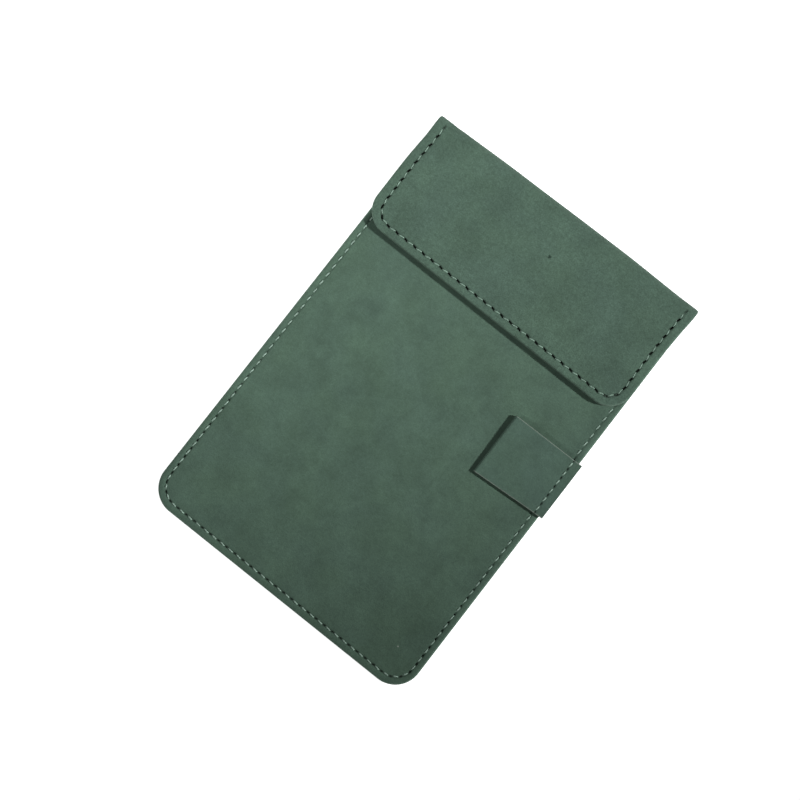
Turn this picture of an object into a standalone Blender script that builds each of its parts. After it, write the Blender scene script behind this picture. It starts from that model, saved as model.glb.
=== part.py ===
"""Pocket notebook in a stitched flap sleeve with a flat pen loop.

Frame: metres, +Z up. The sleeve lies on its back panel, on the plane Z = 0,
with its long side along Y. The fold that the flap turns over is at +Y, and
the origin is under the middle of the closed sleeve.
"""

import math

import bmesh
import bpy

MM = 0.001

# ---------------------------------------------------------------- dimensions
SLEEVE_WIDTH = 100.0 * MM
SLEEVE_BOTTOM_Y = -75.1 * MM
SLEEVE_TOP_Y = 75.2 * MM  # outer face of the top fold
SLEEVE_CORNER_R = 9.0 * MM
MOUTH_Y = 58.0 * MM  # free top edge of the front panel, under the flap
PANEL_TOP_Y = 72.0 * MM  # where the back panel ends and the top fold begins

SKIN_T = 0.8 * MM  # nubuck-faced synthetic leather
LINING_T = 0.3 * MM
BOARD_T = 0.6 * MM
BOND = 0.1 * MM  # glue line between two bonded layers
TURN_W = 1.0 * MM  # width of the skin turned round a panel's edge
EDGE_R = 0.5 * MM  # rounding of a turned edge
INSET = 1.2 * MM  # inner layers stop this far inside the outline
POCKET_H = 3.0 * MM  # height of the pocket between the two linings
PARTING = 0.3 * MM  # gap between the turned edges of the two skins
WELT_W = 3.5 * MM

STITCH_IN = 2.5 * MM  # seam line inside the sleeve's outline
THREAD_R = 0.2 * MM
GROOVE_R = 0.38 * MM

FLAP_WIDTH = 101.0 * MM
FLAP_DEPTH = 42.05 * MM
FLAP_CORNER_R = 8.5 * MM
FLAP_LIFT = 1.4 * MM  # air between front panel and flap lining
FLAP_LINING_T = 0.3 * MM
FLAP_BOARD_T = 0.7 * MM
FLAP_STITCH_IN = 2.8 * MM
FLAP_STITCH_UP = 2.7 * MM

FOLD_WIDTH = 100.6 * MM
FOLD_R = 3.0 * MM  # outer radius of each bend of the top fold
CREASE_H = 1.5 * MM  # height of the rear crease's axis

MAGNET_R = 5.0 * MM
MAGNET_X = 22.0 * MM
MAGNET_Y = 46.0 * MM

LOOP_LEFT_X = 25.3 * MM
LOOP_RIGHT_X = 51.0 * MM
LOOP_TOP_Y = 14.2 * MM
LOOP_LOW_LEFT_Y = -7.4 * MM
LOOP_LOW_RIGHT_Y = -6.1 * MM
LOOP_HINGE_X = 46.45 * MM
STRAP_T = 0.8 * MM
STRAP_SLIT = 0.3 * MM  # the flattened hole that a pen would open
LOOP_STITCH_X = 48.2 * MM

BOOK_LEFT_X = -44.6 * MM
BOOK_RIGHT_X = 45.0 * MM
BOOK_BOTTOM_Y = -69.8 * MM
BOOK_TOP_Y = 69.9 * MM
BOOK_CORNER_R = 5.0 * MM
BOOK_T = 2.6 * MM
BOOK_LIFT = 0.3 * MM  # clearance under the notebook; above it, one bond's width
COVER_T = 0.28 * MM
SHEETS = 8
LEAF_T = 0.09 * MM
LEAF_PITCH = 0.105 * MM
PAGE_INSET = 0.4 * MM
STAPLE_WIRE_R = 0.13 * MM
STAPLE_HOLE_R = 0.17 * MM
STAPLE_Y = 35.0 * MM
STAPLE_HALF = 6.0 * MM

# ------------------------------------------------------------ derived heights
HALF_W = SLEEVE_WIDTH / 2
Z_BACK_BOARD = SKIN_T + BOND
Z_BACK_LINING = Z_BACK_BOARD + BOARD_T + BOND
Z_POCKET = Z_BACK_LINING + LINING_T
Z_FRONT_LINING = Z_POCKET + POCKET_H
Z_FRONT_CARD = Z_FRONT_LINING + LINING_T + BOND
Z_FRONT_SKIN = Z_FRONT_CARD + BOARD_T + BOND
Z_FRONT = Z_FRONT_SKIN + SKIN_T
Z_FLAP = Z_FRONT + FLAP_LIFT
Z_FLAP_BOARD = Z_FLAP + FLAP_LINING_T + BOND
Z_FLAP_SKIN = Z_FLAP_BOARD + FLAP_BOARD_T + BOND
Z_TOP = Z_FLAP_SKIN + SKIN_T
Z_SEAM = (Z_POCKET + Z_FRONT_LINING) / 2
BOOK_HALF_T = BOOK_T / 2
Z_BOOK = Z_POCKET + BOOK_LIFT + BOOK_HALF_T
Z_LOOP = Z_FRONT + BOND
LOOP_H = 2 * STRAP_T + STRAP_SLIT
Z_LOOP_TOP = Z_LOOP + LOOP_H
FLAP_END_Y = SLEEVE_TOP_Y - FLAP_DEPTH
CREASE_Y = SLEEVE_TOP_Y - CREASE_H
ARC = 8  # segments in a quarter turn

# ------------------------------------------------------------------ the scene
for old in list(bpy.data.objects):
    bpy.data.objects.remove(old, do_unlink=True)


def new_collection(name, hidden=False):
    collection = bpy.data.collections.new(name)
    bpy.context.scene.collection.children.link(collection)
    collection.hide_render = hidden
    return collection


PARTS = new_collection("pocket_notebook")
CUTTERS = new_collection("cutters", hidden=True)


def material(name, colour, roughness, metallic=0.0):
    made = bpy.data.materials.new(name)
    made.use_nodes = True
    shader = made.node_tree.nodes["Principled BSDF"]
    shader.inputs["Base Color"].default_value = (*colour, 1.0)
    shader.inputs["Roughness"].default_value = roughness
    shader.inputs["Metallic"].default_value = metallic
    made.diffuse_color = (*colour, 1.0)
    return made


NUBUCK = material("green_nubuck", (0.085, 0.130, 0.098), 0.92)
NUBUCK_FLAP = material("green_nubuck_flap", (0.098, 0.148, 0.112), 0.92)
NUBUCK_LOOP = material("green_nubuck_loop", (0.078, 0.120, 0.092), 0.90)
LINING = material("lining_microfibre", (0.060, 0.092, 0.072), 0.95)
BOARD = material("grey_board", (0.36, 0.34, 0.30), 0.90)
CARD = material("stiffener_card", (0.42, 0.39, 0.33), 0.88)
WELT = material("welt_leather", (0.16, 0.13, 0.09), 0.85)
THREAD = material("mint_thread", (0.42, 0.56, 0.45), 0.60)
MAGNET = material("nickel_magnet", (0.55, 0.55, 0.56), 0.30, 1.0)
COVER = material("kraft_card", (0.37, 0.25, 0.14), 0.85)
PAPER = material("cream_paper", (0.86, 0.82, 0.70), 0.90)
STEEL = material("staple_steel", (0.62, 0.62, 0.64), 0.28, 1.0)


def place(obj, collection, look=None):
    collection.objects.link(obj)
    if look is not None:
        obj.data.materials.append(look)
    if collection is CUTTERS:
        obj.hide_render = True
        obj.display_type = "WIRE"
    return obj


# -------------------------------------------------------------------- outlines
def arc(cx, cy, radius, start, end, steps=ARC):
    """Points along an arc, angles in degrees, both ends included."""
    points = []
    for i in range(steps + 1):
        a = math.radians(start + (end - start) * i / steps)
        points.append((cx + radius * math.cos(a), cy + radius * math.sin(a)))
    return points


def panel(x0, x1, y0, y1, low_r, top_r=0.0):
    """Anticlockwise outline of a panel with rounded lower and upper corners."""
    points = arc(x0 + low_r, y0 + low_r, low_r, 180, 270)
    points += arc(x1 - low_r, y0 + low_r, low_r, 270, 360)
    if top_r > 0:
        points += arc(x1 - top_r, y1 - top_r, top_r, 0, 90, 4)
        points += arc(x0 + top_r, y1 - top_r, top_r, 90, 180, 4)
    else:
        points += [(x1, y1), (x0, y1)]
    return points


def seam_path(half_w, low_y, top_y, inset_side, inset_low, corner_r):
    """Open path down the left side, along the lower edge and up the right."""
    x = half_w - inset_side
    y = low_y + inset_low
    r = corner_r
    points = [(-x, top_y), (-x, (top_y + y + r) / 2)]
    points += arc(-x + r, y + r, r, 180, 270)
    points += [(0.0, y)]
    points += arc(x - r, y + r, r, 270, 360)
    points += [(x, (top_y + y + r) / 2), (x, top_y)]
    return points


# --------------------------------------------------------------------- solids
def flat_curve(name, points, thickness, edge_r=0.0):
    """A filled outline, its thickness centred on the curve's own plane."""
    curve = bpy.data.curves.new(name, "CURVE")
    curve.dimensions = "2D"
    curve.fill_mode = "BOTH"
    curve.extrude = thickness / 2 - edge_r
    if edge_r > 0:
        curve.bevel_depth = edge_r
        curve.bevel_resolution = 2
        curve.offset = -edge_r
    spline = curve.splines.new("POLY")
    spline.points.add(len(points) - 1)
    for point, (x, y) in zip(spline.points, points):
        point.co = (x, y, 0.0, 1.0)
    spline.use_cyclic_u = True
    return bpy.data.objects.new(name, curve)


def wire_curve(name, points, radius, closed=False):
    curve = bpy.data.curves.new(name, "CURVE")
    curve.dimensions = "3D"
    curve.bevel_depth = radius
    curve.bevel_resolution = 2
    curve.use_fill_caps = True
    spline = curve.splines.new("POLY")
    spline.points.add(len(points) - 1)
    for point, co in zip(spline.points, points):
        point.co = (*co, 1.0)
    spline.use_cyclic_u = closed
    return bpy.data.objects.new(name, curve)


def as_mesh(obj, collection):
    """The curve made a mesh, its caps welded to its sides."""
    bpy.context.view_layer.update()
    graph = bpy.context.evaluated_depsgraph_get()
    name, world = obj.name, obj.matrix_world.copy()
    mesh = bpy.data.meshes.new_from_object(obj.evaluated_get(graph))
    for owner in list(obj.users_collection):
        owner.objects.unlink(obj)
    curve = obj.data
    bpy.data.objects.remove(obj)
    bpy.data.curves.remove(curve)
    shape = bmesh.new()
    shape.from_mesh(mesh)
    bmesh.ops.remove_doubles(shape, verts=shape.verts, dist=1e-7)
    bmesh.ops.recalc_face_normals(shape, faces=shape.faces)
    shape.to_mesh(mesh)
    shape.free()
    mesh.name = name
    made = bpy.data.objects.new(name, mesh)
    made.matrix_world = world
    collection.objects.link(made)
    if collection is CUTTERS:
        made.hide_render = True
        made.display_type = "WIRE"
    return made


def plate(name, points, z0, z1, look=None, edge_r=0.0, mesh=False, cutter=False):
    """A plate of this outline between two heights."""
    collection = CUTTERS if cutter else PARTS
    obj = flat_curve(name, points, z1 - z0, edge_r)
    place(obj, collection, look)
    obj.location.z = (z0 + z1) / 2
    return as_mesh(obj, collection) if mesh or cutter else obj


def profile_x(name, points, x0, x1, look=None, mesh=False):
    """A (y, z) profile drawn out along X."""
    obj = flat_curve(name, points, x1 - x0)
    place(obj, PARTS, look)
    obj.rotation_euler = (math.pi / 2, 0.0, math.pi / 2)
    obj.location.x = (x0 + x1) / 2
    return as_mesh(obj, PARTS) if mesh else obj


def profile_y(name, points, y0, y1, look=None, mesh=False):
    """An (x, z) profile drawn out along Y."""
    obj = flat_curve(name, points, y1 - y0)
    place(obj, PARTS, look)
    obj.rotation_euler = (math.pi / 2, 0.0, 0.0)
    obj.location.y = (y0 + y1) / 2
    return as_mesh(obj, PARTS) if mesh else obj


def groove(name, points, radius):
    obj = wire_curve(name, points, radius)
    place(obj, CUTTERS)
    return as_mesh(obj, CUTTERS)


def boolean(obj, other, operation="DIFFERENCE"):
    modifier = obj.modifiers.new(other.name, "BOOLEAN")
    modifier.operation = operation
    modifier.object = other
    modifier.solver = "EXACT"
    return obj


def lifted(path, z):
    return [(x, y, z) for x, y in path]


def disc(name, x, y, z0, z1, radius, look=None, collection=None, sides=32):
    bpy.ops.mesh.primitive_cylinder_add(
        vertices=sides, radius=radius, depth=z1 - z0, location=(x, y, (z0 + z1) / 2)
    )
    obj = bpy.context.object
    obj.name = name
    for owner in list(obj.users_collection):
        owner.objects.unlink(obj)
    obj.data.shade_smooth()
    obj.data.set_sharp_from_angle(angle=math.radians(40))
    return place(obj, collection or PARTS, look)


def box(name, x0, x1, y0, y1, z0, z1):
    bpy.ops.mesh.primitive_cube_add(
        size=1.0, location=((x0 + x1) / 2, (y0 + y1) / 2, (z0 + z1) / 2)
    )
    obj = bpy.context.object
    obj.name = name
    obj.scale = (x1 - x0, y1 - y0, z1 - z0)
    bpy.ops.object.transform_apply(location=False, rotation=False, scale=True)
    for owner in list(obj.users_collection):
        owner.objects.unlink(obj)
    return place(obj, CUTTERS)


# ------------------------------------------------------------------ the sleeve
BEYOND = 5 * MM

# Seam threads: one on each face of the sleeve. The front one climbs over the
# stitched end of the pen loop.
SEAM_CORNER_R = SLEEVE_CORNER_R - STITCH_IN
FRONT_THREAD_Z = Z_FRONT - 0.1 * MM
LOOP_THREAD_Z = Z_LOOP_TOP - 0.1 * MM
seam_xy = seam_path(
    HALF_W, SLEEVE_BOTTOM_Y, MOUTH_Y - 1.5 * MM, STITCH_IN, STITCH_IN, SEAM_CORNER_R
)
SEAM_X = HALF_W - STITCH_IN
front_thread_path = lifted(seam_xy[:-2], FRONT_THREAD_Z) + [
    (SEAM_X, LOOP_LOW_RIGHT_Y - 1.6 * MM, FRONT_THREAD_Z),
    (LOOP_STITCH_X, LOOP_LOW_RIGHT_Y - 0.5 * MM, LOOP_THREAD_Z),
    (LOOP_STITCH_X, LOOP_TOP_Y + 0.5 * MM, LOOP_THREAD_Z),
    (SEAM_X, LOOP_TOP_Y + 1.6 * MM, FRONT_THREAD_Z),
    (SEAM_X, MOUTH_Y - 1.5 * MM, FRONT_THREAD_Z),
]
place(wire_curve("front_seam_thread", front_thread_path, THREAD_R), PARTS, THREAD)
back_thread_path = lifted(seam_xy, 0.25 * MM)
place(wire_curve("back_seam_thread", back_thread_path, THREAD_R), PARTS, THREAD)

# Back panel: outer skin with its edge turned up, board and lining.
back_skin = plate(
    "back_outer_skin",
    panel(-HALF_W, HALF_W, SLEEVE_BOTTOM_Y, PANEL_TOP_Y, SLEEVE_CORNER_R),
    0.0,
    Z_SEAM - PARTING / 2,
    NUBUCK,
    EDGE_R,
    mesh=True,
)
turned_cut = panel(
    -HALF_W + TURN_W,
    HALF_W - TURN_W,
    SLEEVE_BOTTOM_Y + TURN_W,
    PANEL_TOP_Y + BEYOND,
    SLEEVE_CORNER_R - TURN_W,
)
boolean(
    back_skin, plate("back_turn_cut", turned_cut, SKIN_T, Z_SEAM + BEYOND, cutter=True)
)
boolean(
    back_skin,
    box(
        "back_shoulder_cut",
        -HALF_W - BEYOND,
        HALF_W + BEYOND,
        MOUTH_Y,
        PANEL_TOP_Y + BEYOND,
        Z_POCKET,
        Z_SEAM + BEYOND,
    ),
)
boolean(
    back_skin, groove("back_seam_groove", lifted(seam_xy, 0.12 * MM), GROOVE_R)
)

inner_low_r = SLEEVE_CORNER_R - INSET
inner_back = panel(
    -HALF_W + INSET,
    HALF_W - INSET,
    SLEEVE_BOTTOM_Y + INSET,
    PANEL_TOP_Y - 0.2 * MM,
    inner_low_r,
)
plate("back_board", inner_back, Z_BACK_BOARD, Z_BACK_BOARD + BOARD_T, BOARD)
plate("back_lining", inner_back, Z_BACK_LINING, Z_POCKET, LINING)

# The welt: a U of leather between the linings, under the seam. It keeps the
# two panels parallel and sets the height of the pocket.
welt_in = INSET + WELT_W
welt_outer = panel(
    -HALF_W + INSET, HALF_W - INSET, SLEEVE_BOTTOM_Y + INSET, MOUTH_Y, inner_low_r
)
welt = plate(
    "seam_welt",
    welt_outer,
    Z_POCKET + BOND,
    Z_FRONT_LINING - BOND,
    WELT,
    mesh=True,
)
boolean(
    welt,
    plate(
        "welt_cut",
        panel(
            -HALF_W + welt_in,
            HALF_W - welt_in,
            SLEEVE_BOTTOM_Y + welt_in,
            MOUTH_Y + BEYOND,
            0.6 * MM,
        ),
        Z_POCKET - BEYOND,
        Z_FRONT + BEYOND,
        cutter=True,
    ),
)

# Front panel: lining, stiffener card with two keeper discs, outer skin.
inner_front = panel(
    -HALF_W + INSET, HALF_W - INSET, SLEEVE_BOTTOM_Y + INSET, MOUTH_Y - 0.2 * MM, inner_low_r
)
plate("front_lining", inner_front, Z_FRONT_LINING, Z_FRONT_LINING + LINING_T, LINING)
front_card = plate(
    "front_card", inner_front, Z_FRONT_CARD, Z_FRONT_CARD + BOARD_T, CARD, mesh=True
)
for side, x in (("left", -MAGNET_X), ("right", MAGNET_X)):
    hole = disc(
        f"keeper_hole_{side}",
        x,
        MAGNET_Y,
        Z_FRONT_CARD - 0.05 * MM,
        Z_FRONT_CARD + BOARD_T + 0.05 * MM,
        MAGNET_R + 0.3 * MM,
        collection=CUTTERS,
    )
    boolean(front_card, hole)
    disc(
        f"front_keeper_{side}",
        x,
        MAGNET_Y,
        Z_FRONT_CARD + 0.03 * MM,
        Z_FRONT_CARD + BOARD_T - 0.03 * MM,
        MAGNET_R,
        MAGNET,
    )
front_skin = plate(
    "front_outer_skin",
    panel(-HALF_W, HALF_W, SLEEVE_BOTTOM_Y, MOUTH_Y, SLEEVE_CORNER_R),
    Z_SEAM + PARTING / 2,
    Z_FRONT,
    NUBUCK,
    EDGE_R,
    mesh=True,
)
boolean(
    front_skin,
    plate("front_turn_cut", turned_cut, Z_SEAM - BEYOND, Z_FRONT_SKIN, cutter=True),
)
boolean(
    front_skin,
    groove("front_seam_groove", lifted(seam_xy, FRONT_THREAD_Z + 0.02 * MM), GROOVE_R),
)

# ---------------------------------------------------------------- the pen loop
# A strap folded double. Both of its ends are caught in the right-hand seam, so
# the last few millimetres are fixed and the rest lifts about the stitching.
loop_outline = [
    (LOOP_LEFT_X - BEYOND, LOOP_LOW_LEFT_Y),
    (LOOP_LEFT_X, LOOP_LOW_LEFT_Y),
    (LOOP_RIGHT_X, LOOP_LOW_RIGHT_Y),
    (LOOP_RIGHT_X + BEYOND, LOOP_LOW_RIGHT_Y),
    (LOOP_RIGHT_X + BEYOND, LOOP_TOP_Y),
    (LOOP_LEFT_X - BEYOND, LOOP_TOP_Y),
]
anchor_x = LOOP_HINGE_X + 0.15 * MM
anchor = plate(
    "pen_loop_anchor",
    [
        (anchor_x, LOOP_LOW_RIGHT_Y),
        (LOOP_RIGHT_X, LOOP_LOW_RIGHT_Y),
        (LOOP_RIGHT_X, LOOP_TOP_Y),
        (anchor_x, LOOP_TOP_Y),
    ],
    Z_LOOP,
    Z_LOOP_TOP,
    NUBUCK_LOOP,
    0.12 * MM,
    mesh=True,
)
boolean(
    anchor,
    groove(
        "loop_seam_groove",
        [
            (LOOP_STITCH_X, LOOP_LOW_RIGHT_Y - BEYOND, LOOP_THREAD_Z + 0.02 * MM),
            (LOOP_STITCH_X, LOOP_TOP_Y + BEYOND, LOOP_THREAD_Z + 0.02 * MM),
        ],
        GROOVE_R,
    ),
)
strap_right = LOOP_HINGE_X - 0.15 * MM
bend_r = LOOP_H / 2
bend_x = LOOP_LEFT_X + bend_r
bend_z = Z_LOOP + bend_r
strap_profile = [(strap_right, Z_LOOP_TOP)]
strap_profile += arc(bend_x, bend_z, bend_r, 90, 270, 2 * ARC)
strap_profile += [(strap_right, Z_LOOP), (strap_right, Z_LOOP + STRAP_T)]
strap_profile += arc(bend_x, bend_z, bend_r - STRAP_T, 270, 90, ARC)
strap_profile += [(strap_right, Z_LOOP_TOP - STRAP_T)]
strap = profile_y(
    "pen_loop_strap",
    strap_profile,
    LOOP_LOW_LEFT_Y - BEYOND,
    LOOP_TOP_Y + BEYOND,
    NUBUCK_LOOP,
    mesh=True,
)
boolean(
    strap,
    plate("loop_trim", loop_outline, Z_FRONT - BEYOND, Z_TOP + BEYOND, cutter=True),
    "INTERSECT",
)

# ---------------------------------------------------------------- the top fold
def fold_profile(outer_r, thickness, start_y):
    """C-shaped (y, z) profile that joins the back panel to the flap."""
    low = FOLD_R
    high = Z_TOP - FOLD_R
    cy = SLEEVE_TOP_Y - FOLD_R
    inner_r = outer_r - thickness
    points = [(start_y, low - outer_r)]
    points += arc(cy, low, outer_r, 270, 360)
    points += arc(cy, high, outer_r, 0, 90)
    points += [(start_y, high + outer_r), (start_y, high + inner_r)]
    points += arc(cy, high, inner_r, 90, 0)
    points += arc(cy, low, inner_r, 360, 270)
    points += [(start_y, low - inner_r)]
    return points


FOLD_START_Y = PANEL_TOP_Y + 0.15 * MM
profile_x(
    "top_fold_skin",
    fold_profile(FOLD_R, SKIN_T, FOLD_START_Y),
    -FOLD_WIDTH / 2,
    FOLD_WIDTH / 2,
    NUBUCK,
)
profile_x(
    "top_fold_lining",
    fold_profile(FOLD_R - SKIN_T - BOND, LINING_T, FOLD_START_Y),
    -FOLD_WIDTH / 2 + INSET,
    FOLD_WIDTH / 2 - INSET,
    LINING,
)

# -------------------------------------------------------------------- the flap
FLAP_HALF = FLAP_WIDTH / 2
flap_skin = plate(
    "flap_outer_skin",
    panel(-FLAP_HALF, FLAP_HALF, FLAP_END_Y, PANEL_TOP_Y, FLAP_CORNER_R),
    Z_FLAP,
    Z_TOP,
    NUBUCK_FLAP,
    EDGE_R,
    mesh=True,
)
boolean(
    flap_skin,
    plate(
        "flap_turn_cut",
        panel(
            -FLAP_HALF + TURN_W,
            FLAP_HALF - TURN_W,
            FLAP_END_Y + TURN_W,
            PANEL_TOP_Y + BEYOND,
            FLAP_CORNER_R - TURN_W,
        ),
        Z_FLAP - BEYOND,
        Z_FLAP_SKIN,
        cutter=True,
    ),
)
flap_seam = seam_path(
    FLAP_HALF,
    FLAP_END_Y,
    PANEL_TOP_Y - 1.0 * MM,
    FLAP_STITCH_IN,
    FLAP_STITCH_UP,
    FLAP_CORNER_R - FLAP_STITCH_IN,
)
boolean(
    flap_skin,
    groove("flap_top_groove", lifted(flap_seam, Z_TOP - 0.08 * MM), GROOVE_R),
)
place(
    wire_curve("flap_top_thread", lifted(flap_seam, Z_TOP - 0.1 * MM), THREAD_R),
    PARTS,
    THREAD,
)
flap_inner = panel(
    -FLAP_HALF + INSET,
    FLAP_HALF - INSET,
    FLAP_END_Y + INSET,
    PANEL_TOP_Y - 0.2 * MM,
    FLAP_CORNER_R - INSET,
)
flap_board = plate(
    "flap_board", flap_inner, Z_FLAP_BOARD, Z_FLAP_BOARD + FLAP_BOARD_T, BOARD, mesh=True
)
for side, x in (("left", -MAGNET_X), ("right", MAGNET_X)):
    hole = disc(
        f"magnet_hole_{side}",
        x,
        MAGNET_Y,
        Z_FLAP_BOARD - 0.05 * MM,
        Z_FLAP_BOARD + FLAP_BOARD_T + 0.05 * MM,
        MAGNET_R + 0.3 * MM,
        collection=CUTTERS,
    )
    boolean(flap_board, hole)
    disc(
        f"flap_magnet_{side}",
        x,
        MAGNET_Y,
        Z_FLAP_BOARD + 0.03 * MM,
        Z_FLAP_BOARD + FLAP_BOARD_T - 0.03 * MM,
        MAGNET_R,
        MAGNET,
    )
flap_lining = plate(
    "flap_lining", flap_inner, Z_FLAP, Z_FLAP + FLAP_LINING_T, LINING, mesh=True
)
UNDER_R = 0.12 * MM
boolean(
    flap_lining, groove("flap_under_groove", lifted(flap_seam, Z_FLAP + 0.02 * MM), 0.2 * MM)
)
place(
    wire_curve("flap_under_thread", lifted(flap_seam, Z_FLAP + 0.03 * MM), UNDER_R),
    PARTS,
    THREAD,
)

# ---------------------------------------------------------------- the notebook
# Saddle-stapled: one folded card cover round eight folded sheets.
fold_x = BOOK_LEFT_X + BOOK_HALF_T


def folded_profile(half, thickness, right_x):
    """(x, z) profile of a sheet folded once, its fold at the left."""
    points = [(right_x, Z_BOOK + half)]
    points += arc(fold_x, Z_BOOK, half, 90, 270)
    points += [(right_x, Z_BOOK - half), (right_x, Z_BOOK - half + thickness)]
    points += arc(fold_x, Z_BOOK, half - thickness, 270, 90)
    points += [(right_x, Z_BOOK + half - thickness)]
    return points


def trim(name, right_x, inset):
    """Square at the fold, rounded at the fore edge."""
    x0 = BOOK_LEFT_X - BEYOND
    y0, y1 = BOOK_BOTTOM_Y + inset, BOOK_TOP_Y - inset
    r = BOOK_CORNER_R
    points = [(x0, y0)]
    points += arc(right_x - r, y0 + r, r, 270, 360, 5)
    points += arc(right_x - r, y1 - r, r, 0, 90, 5)
    points += [(x0, y1)]
    return plate(name, points, Z_POCKET - BEYOND, Z_FRONT + BEYOND, cutter=True)


cover_trim = trim("cover_trim", BOOK_RIGHT_X, 0.0)
page_trim = trim("page_trim", BOOK_RIGHT_X - PAGE_INSET, PAGE_INSET)

staple_holes = []
inner_fold_x = fold_x - (
    BOOK_HALF_T - COVER_T - BOND * 0.15 - (SHEETS - 1) * LEAF_PITCH - LEAF_T
)
for where, y in (("upper", STAPLE_Y), ("lower", -STAPLE_Y)):
    for leg in (-1, 1):
        hole = groove(
            f"staple_hole_{where}_{'top' if leg > 0 else 'low'}",
            [
                (BOOK_LEFT_X - 0.5 * MM, y + leg * STAPLE_HALF, Z_BOOK),
                (inner_fold_x + 0.1 * MM, y + leg * STAPLE_HALF, Z_BOOK),
            ],
            STAPLE_HOLE_R,
        )
        staple_holes.append(hole)
    out_x = BOOK_LEFT_X - 0.05 * MM - STAPLE_WIRE_R
    in_x = inner_fold_x + 0.05 * MM + STAPLE_WIRE_R
    path = [
        (in_x, y + 1.2 * MM, Z_BOOK),
        (in_x, y + STAPLE_HALF, Z_BOOK),
        (out_x, y + STAPLE_HALF, Z_BOOK),
        (out_x, y - STAPLE_HALF, Z_BOOK),
        (in_x, y - STAPLE_HALF, Z_BOOK),
        (in_x, y - 1.2 * MM, Z_BOOK),
    ]
    place(wire_curve(f"staple_{where}", path, STAPLE_WIRE_R), PARTS, STEEL)


def folded_sheet(name, half, thickness, look, trimmer):
    sheet = profile_y(
        name,
        folded_profile(half, thickness, BOOK_RIGHT_X + BEYOND),
        BOOK_BOTTOM_Y - BEYOND,
        BOOK_TOP_Y + BEYOND,
        look,
        mesh=True,
    )
    boolean(sheet, trimmer, "INTERSECT")
    for hole in staple_holes:
        boolean(sheet, hole)
    return sheet


folded_sheet("notebook_cover", BOOK_HALF_T, COVER_T, COVER, cover_trim)
for i in range(SHEETS):
    half = BOOK_HALF_T - COVER_T - BOND * 0.15 - i * LEAF_PITCH
    folded_sheet(f"page_sheet_{i + 1}", half, LEAF_T, PAPER, page_trim)

# ------------------------------------------------------------------ the joints
# Empties on the axes of what moves, with the moving pieces under them.
MOVING = {
    "rear_crease": ((0.0, CREASE_Y, CREASE_H), ("top_fold_skin", "top_fold_lining")),
    "front_crease": (
        (0.0, CREASE_Y, Z_TOP - CREASE_H),
        (
            "flap_outer_skin",
            "flap_board",
            "flap_lining",
            "flap_magnet_left",
            "flap_magnet_right",
            "flap_top_thread",
            "flap_under_thread",
        ),
    ),
    "loop_hinge": ((LOOP_HINGE_X, 0.0, Z_LOOP_TOP + 0.05 * MM), ("pen_loop_strap",)),
    "pocket_slide": (
        (0.0, 0.0, Z_BOOK),
        ("notebook_cover", "staple_upper", "staple_lower")
        + tuple(f"page_sheet_{i + 1}" for i in range(SHEETS)),
    ),
}
bpy.context.view_layer.update()
for joint, (where, names) in MOVING.items():
    axis = bpy.data.objects.new(joint, None)
    axis.location = where
    axis.empty_display_size = 0.01
    PARTS.objects.link(axis)
    bpy.context.view_layer.update()
    for name in names:
        piece = bpy.data.objects[name]
        world = piece.matrix_world.copy()
        piece.parent = axis
        piece.matrix_parent_inverse = axis.matrix_world.inverted()
        piece.matrix_world = world
bpy.data.objects["front_crease"].parent = bpy.data.objects["rear_crease"]
bpy.data.objects["front_crease"].matrix_parent_inverse = (
    bpy.data.objects["rear_crease"].matrix_world.inverted()
)
bpy.context.view_layer.update()
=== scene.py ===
import math

import bmesh
import bpy
import numpy as np
from mathutils import Matrix, Vector, noise


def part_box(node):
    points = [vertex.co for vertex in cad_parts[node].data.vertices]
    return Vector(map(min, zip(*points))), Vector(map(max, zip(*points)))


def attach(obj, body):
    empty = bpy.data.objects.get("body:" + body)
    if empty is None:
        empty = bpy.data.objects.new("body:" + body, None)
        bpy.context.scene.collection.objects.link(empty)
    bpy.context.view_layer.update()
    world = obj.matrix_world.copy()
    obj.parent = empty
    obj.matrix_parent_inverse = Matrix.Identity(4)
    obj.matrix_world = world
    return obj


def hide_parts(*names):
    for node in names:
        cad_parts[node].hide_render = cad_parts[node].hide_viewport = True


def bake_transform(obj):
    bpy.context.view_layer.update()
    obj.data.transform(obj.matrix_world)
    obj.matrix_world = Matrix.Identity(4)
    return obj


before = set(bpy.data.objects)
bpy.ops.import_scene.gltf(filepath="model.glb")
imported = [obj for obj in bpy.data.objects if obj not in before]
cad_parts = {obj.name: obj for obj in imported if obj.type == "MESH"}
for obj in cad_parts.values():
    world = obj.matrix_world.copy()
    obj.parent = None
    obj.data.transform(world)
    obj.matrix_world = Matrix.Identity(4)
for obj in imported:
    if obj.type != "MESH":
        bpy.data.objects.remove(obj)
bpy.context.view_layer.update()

MM = 0.001


def span(node):
    """A CAD node's box in millimetres."""
    low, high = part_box(node)
    return np.array(low) / MM, np.array(high) / MM


# ------------------------------------------------- sizes taken from the frame
FRONT_LO, FRONT_HI = span("front_outer_skin")
BACK_LO, BACK_HI = span("back_outer_skin")
FLAP_LO, FLAP_HI = span("flap_outer_skin")
FOLD_LO, FOLD_HI = span("top_fold_skin")
ANCHOR_LO, ANCHOR_HI = span("pen_loop_anchor")
STRAP_LO, STRAP_HI = span("pen_loop_strap")
BLINE_LO, BLINE_HI = span("back_lining")
FLINE_LO, FLINE_HI = span("flap_lining")

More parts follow.
